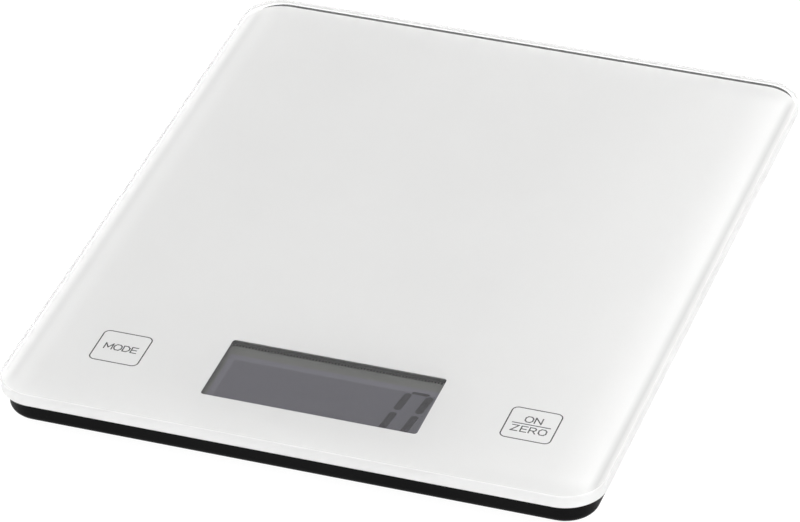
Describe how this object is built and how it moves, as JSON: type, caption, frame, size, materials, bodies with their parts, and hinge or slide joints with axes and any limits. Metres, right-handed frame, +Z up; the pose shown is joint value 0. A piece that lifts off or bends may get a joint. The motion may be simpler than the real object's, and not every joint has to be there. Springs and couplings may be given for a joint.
{
  "type": "kitchen scale",
  "caption": "Slim electronic kitchen scale: a glass platform with a display window and two touch keys on a low base that stands on four weighing feet.",
  "frame": {"origin": "on the table, under the centre of the scale", "axes": "+X to the user's right, +Y away from the user along the longer side, +Z up"},
  "size_m": [0.182, 0.224, 0.015],
  "materials": {
    "platform_glass": "clear float glass, ground and polished edge",
    "white_print": "opaque white screen print behind glass",
    "grey_print": "dark grey screen print",
    "foam_tape": "double-sided foam tape",
    "black_plastic": "fine-textured black ABS",
    "plated_screw": "zinc-plated steel",
    "cell_can": "nickel-plated steel",
    "contact_metal": "nickel-plated spring strip",
    "wire_jacket": "PVC insulation",
    "board_laminate": "green solder resist on glass-epoxy laminate",
    "epoxy": "black potting epoxy",
    "chip_ceramic": "fired ceramic with tinned ends",
    "display_glass": "thin display glass",
    "polariser_film": "grey-violet polarising film",
    "reflector_film": "grey reflective film",
    "dark_segment": "dark liquid-crystal segment",
    "strip_rubber": "layered conductive silicone rubber",
    "silicone": "white gauge sealant",
    "label_film": "blank silver label film",
    "cell_steel": "plated spring steel",
    "pad_rubber": "soft black rubber"
  },
  "bodies": {
    "scale_body": {"glass_platform": "platform_glass", "white_backprint": "white_print", "key_legends": "grey_print", "mounting_tape": "foam_tape", "glass_carrier": "black_plastic", "base_shell": "black_plastic", "case_screws": "plated_screw", "positive_contact": "contact_metal", "negative_contact": "contact_metal", "battery_leads": "wire_jacket", "circuit_board": "board_laminate", "board_screws": "plated_screw", "controller_blob": "epoxy", "board_parts": "chip_ceramic", "display_glass": "display_glass", "display_polariser": "polariser_film", "display_reflector": "reflector_film", "display_digits": "dark_segment", "display_frame": "black_plastic", "conductive_strips": "strip_rubber", "gauge_sealant": "silicone", "sensor_leads": "wire_jacket", "rating_label": "label_film", "left_touch_foil": "contact_metal", "left_touch_spring": "contact_metal", "right_touch_foil": "contact_metal", "right_touch_spring": "contact_metal", "front_left_load_cell": "cell_steel", "front_right_load_cell": "cell_steel", "back_left_load_cell": "cell_steel", "back_right_load_cell": "cell_steel", "front_left_foot_cup": "black_plastic", "front_left_foot_pad": "pad_rubber", "front_right_foot_cup": "black_plastic", "front_right_foot_pad": "pad_rubber", "back_left_foot_cup": "black_plastic", "back_left_foot_pad": "pad_rubber", "back_right_foot_cup": "black_plastic", "back_right_foot_pad": "pad_rubber"},
    "battery_door": {"battery_door": "black_plastic"},
    "coin_cell": {"coin_cell": "cell_can"}
  },
  "joints": [
    {"name": "battery_door_hinge", "type": "hinge", "parent": "scale_body", "child": "battery_door", "pos_m": [0, -0.0014, 0.0048], "axis": [1, 0, 0], "range_deg": [0, 110]},
    {"name": "coin_cell_lift", "type": "slide", "parent": "scale_body", "child": "coin_cell", "axis": [0, 0, -1], "range_m": [0, 0.0051]}
  ],
  "couplings": [
    {"joint": "coin_cell_lift", "follows": "battery_door_hinge", "m_per_rad": 0.0026}
  ]
}
